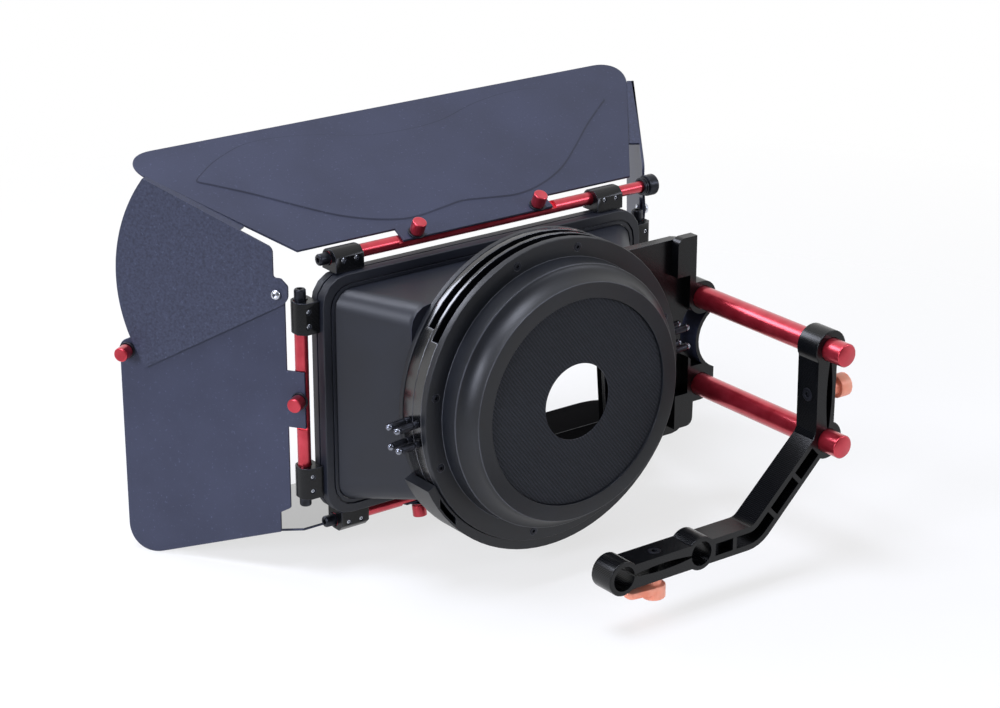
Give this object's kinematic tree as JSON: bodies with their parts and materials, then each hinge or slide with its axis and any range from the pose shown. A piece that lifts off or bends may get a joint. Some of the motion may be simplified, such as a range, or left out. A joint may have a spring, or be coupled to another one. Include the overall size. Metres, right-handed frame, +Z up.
{
  "type": "matte box",
  "caption": "Rod-mounted matte box: round filter stage with a donut, rectangular hood, hinged flags and fanned wings, on a side support arm with lever clamps.",
  "frame": {"origin": "midway between the axes of the two camera-rod bores, on the support arm's middle plane", "axes": "+X to the operator's right, +Y forward along the optical axis, +Z up"},
  "size_m": [0.4248, 0.3147, 0.2579],
  "materials": {
    "black_anodised": "black anodised, fine bead-blasted",
    "satin_black": "satin black anodised, machined",
    "powder_coat": "blue-grey black powder coat with a light grain",
    "red_anodised": "bright red anodised, turned",
    "orange_anodised": "orange anodised",
    "steel": "machined steel",
    "donut_fabric": "ribbed elastic fabric"
  },
  "bodies": {
    "arm": {"support_arm": "black_anodised", "lower_clamp_screw": "steel", "side_clamp_screw": "steel"},
    "lower_lever": {"lower_clamp_lever": "orange_anodised"},
    "side_lever": {"side_clamp_lever": "orange_anodised"},
    "box": {"side_rod_upper": "red_anodised", "side_rod_lower": "red_anodised", "side_bracket": "satin_black", "mounting_plate": "satin_black", "stage_base_ring": "black_anodised", "hood_shell": "powder_coat", "hood_frame": "powder_coat", "hinge_block_left_lower": "satin_black", "hinge_block_left_upper": "satin_black", "hinge_block_right_lower": "satin_black", "hinge_block_right_upper": "satin_black", "hinge_block_bottom_left": "satin_black", "hinge_block_bottom_right": "satin_black", "hinge_block_top_left": "satin_black", "hinge_block_top_right": "satin_black"},
    "filter_stage": {"stage_rear_flange": "black_anodised", "stage_middle_ring": "black_anodised", "stage_front_ring": "black_anodised", "donut_holder": "black_anodised", "donut_membrane": "donut_fabric"},
    "tray_rear": {"filter_tray_rear": "satin_black"},
    "tray_front": {"filter_tray_front": "satin_black"},
    "flag_top": {"top_flag": "powder_coat", "hinge_rod_top": "red_anodised"},
    "flag_bottom": {"bottom_flag": "powder_coat", "hinge_rod_bottom": "red_anodised"},
    "flag_left": {"left_flag": "powder_coat", "hinge_rod_left": "red_anodised", "wing_pivot_left": "steel"},
    "flag_right": {"right_flag": "powder_coat", "hinge_rod_right": "red_anodised", "wing_pivot_right": "steel"},
    "wing_left": {"left_wing": "powder_coat"},
    "wing_right": {"right_wing": "powder_coat"},
    "rod_knob": {"top_rod_knob": "satin_black"},
    "plunger_rear_left_lower": {"lock_pin_rear_left_lower": "satin_black"},
    "plunger_rear_left_upper": {"lock_pin_rear_left_upper": "satin_black"},
    "plunger_rear_right_lower": {"lock_pin_rear_right_lower": "satin_black"},
    "plunger_rear_right_upper": {"lock_pin_rear_right_upper": "satin_black"},
    "plunger_front_left_lower": {"lock_pin_front_left_lower": "satin_black"},
    "plunger_front_left_upper": {"lock_pin_front_left_upper": "satin_black"},
    "plunger_front_right_lower": {"lock_pin_front_right_lower": "satin_black"},
    "plunger_front_right_upper": {"lock_pin_front_right_upper": "satin_black"},
    "screw_top_left": {"thumbscrew_top_left": "red_anodised"},
    "screw_top_right": {"thumbscrew_top_right": "red_anodised"},
    "screw_bottom_left": {"thumbscrew_bottom_left": "red_anodised"},
    "screw_bottom_right": {"thumbscrew_bottom_right": "red_anodised"},
    "screw_left": {"thumbscrew_left": "red_anodised"},
    "screw_right": {"thumbscrew_right": "red_anodised"},
    "screw_left_wing": {"thumbscrew_left_wing": "red_anodised"},
    "screw_right_wing": {"thumbscrew_right_wing": "red_anodised"}
  },
  "joints": [
    {"name": "box_slide", "type": "slide", "parent": "arm", "child": "box", "axis": [0, 1, 0], "range_m": [-0.06, 0.012]},
    {"name": "lower_lever_turn", "type": "hinge", "parent": "arm", "child": "lower_lever", "pos_m": [0, 0, 0], "axis": [0, 0, 1], "range_deg": [-90, 90]},
    {"name": "side_lever_turn", "type": "hinge", "parent": "arm", "child": "side_lever", "pos_m": [0.1358, 0, 0.079], "axis": [1, 0, 0], "range_deg": [-90, 90]},
    {"name": "stage_turn", "type": "hinge", "parent": "box", "child": "filter_stage", "pos_m": [0, 0.11, 0.079], "axis": [0, 1, 0], "range_deg": [-10, 10]},
    {"name": "tray_rear_lift", "type": "slide", "parent": "filter_stage", "child": "tray_rear", "axis": [-0.0741, 0, 0.9973], "range_m": [0, 0.14]},
    {"name": "tray_front_lift", "type": "slide", "parent": "filter_stage", "child": "tray_front", "axis": [-0.0741, 0, 0.9973], "range_m": [0, 0.14]},
    {"name": "plunger_rear_left_lower_pull", "type": "slide", "parent": "filter_stage", "child": "plunger_rear_left_lower", "axis": [-0.9973, 0, -0.0741], "range_m": [0, 0.003]},
    {"name": "plunger_rear_left_upper_pull", "type": "slide", "parent": "filter_stage", "child": "plunger_rear_left_upper", "axis": [-0.9973, 0, -0.0741], "range_m": [0, 0.003]},
    {"name": "plunger_rear_right_lower_pull", "type": "slide", "parent": "filter_stage", "child": "plunger_rear_right_lower", "axis": [0.9973, 0, 0.0741], "range_m": [0, 0.003]},
    {"name": "plunger_rear_right_upper_pull", "type": "slide", "parent": "filter_stage", "child": "plunger_rear_right_upper", "axis": [0.9973, 0, 0.0741], "range_m": [0, 0.003]},
    {"name": "plunger_front_left_lower_pull", "type": "slide", "parent": "filter_stage", "child": "plunger_front_left_lower", "axis": [-0.9973, 0, -0.0741], "range_m": [0, 0.003]},
    {"name": "plunger_front_left_upper_pull", "type": "slide", "parent": "filter_stage", "child": "plunger_front_left_upper", "axis": [-0.9973, 0, -0.0741], "range_m": [0, 0.003]},
    {"name": "plunger_front_right_lower_pull", "type": "slide", "parent": "filter_stage", "child": "plunger_front_right_lower", "axis": [0.9973, 0, 0.0741], "range_m": [0, 0.003]},
    {"name": "plunger_front_right_upper_pull", "type": "slide", "parent": "filter_stage", "child": "plunger_front_right_upper", "axis": [0.9973, 0, 0.0741], "range_m": [0, 0.003]},
    {"name": "top_flag_hinge", "type": "hinge", "parent": "box", "child": "flag_top", "pos_m": [0, 0.18, 0.1655], "axis": [1, 0, 0], "range_deg": [0, 60]},
    {"name": "bottom_flag_hinge", "type": "hinge", "parent": "box", "child": "flag_bottom", "pos_m": [0, 0.18, -0.0075], "axis": [1, 0, 0], "range_deg": [-60, 30]},
    {"name": "left_flag_hinge", "type": "hinge", "parent": "box", "child": "flag_left", "pos_m": [-0.1315, 0.18, 0.079], "axis": [0, 0, 1], "range_deg": [0, 50]},
    {"name": "right_flag_hinge", "type": "hinge", "parent": "box", "child": "flag_right", "pos_m": [0.1315, 0.18, 0.079], "axis": [0, 0, -1], "range_deg": [0, 50]},
    {"name": "left_wing_turn", "type": "hinge", "parent": "flag_left", "child": "wing_left", "pos_m": [-0.13877, 0.19078, 0.1469], "axis": [-0.829, -0.5592, 0], "range_deg": [0, 50]},
    {"name": "right_wing_turn", "type": "hinge", "parent": "flag_right", "child": "wing_right", "pos_m": [0.13877, 0.19078, 0.1469], "axis": [-0.829, 0.5592, 0], "range_deg": [0, 50]},
    {"name": "rod_knob_turn", "type": "hinge", "parent": "flag_top", "child": "rod_knob", "pos_m": [0.139, 0.18, 0.1655], "axis": [1, 0, 0], "range_deg": [-180, 180]},
    {"name": "screw_top_left_turn", "type": "hinge", "parent": "flag_top", "child": "screw_top_left", "pos_m": [-0.047, 0.18, 0.1655], "axis": [0, -0.4478, 0.8942], "range_deg": [-180, 180]},
    {"name": "screw_bottom_left_turn", "type": "hinge", "parent": "flag_bottom", "child": "screw_bottom_left", "pos_m": [-0.047, 0.18, -0.0075], "axis": [0, -0.1994, -0.9799], "range_deg": [-180, 180]},
    {"name": "screw_left_turn", "type": "hinge", "parent": "flag_left", "child": "screw_left", "pos_m": [-0.1315, 0.18, 0.079], "axis": [-0.829, -0.5592, 0], "range_deg": [-180, 180]},
    {"name": "screw_left_wing_turn", "type": "hinge", "parent": "flag_left", "child": "screw_left_wing", "pos_m": [-0.19581, 0.27534, 0.0985], "axis": [-0.829, -0.5592, 0], "range_deg": [-180, 180]},
    {"name": "screw_top_right_turn", "type": "hinge", "parent": "flag_top", "child": "screw_top_right", "pos_m": [0.047, 0.18, 0.1655], "axis": [0, -0.4478, 0.8942], "range_deg": [-180, 180]},
    {"name": "screw_bottom_right_turn", "type": "hinge", "parent": "flag_bottom", "child": "screw_bottom_right", "pos_m": [0.047, 0.18, -0.0075], "axis": [0, -0.1994, -0.9799], "range_deg": [-180, 180]},
    {"name": "screw_right_turn", "type": "hinge", "parent": "flag_right", "child": "screw_right", "pos_m": [0.1315, 0.18, 0.079], "axis": [0.829, -0.5592, 0], "range_deg": [-180, 180]},
    {"name": "screw_right_wing_turn", "type": "hinge", "parent": "flag_right", "child": "screw_right_wing", "pos_m": [0.19581, 0.27534, 0.0985], "axis": [0.829, -0.5592, 0], "range_deg": [-180, 180]}
  ]
}
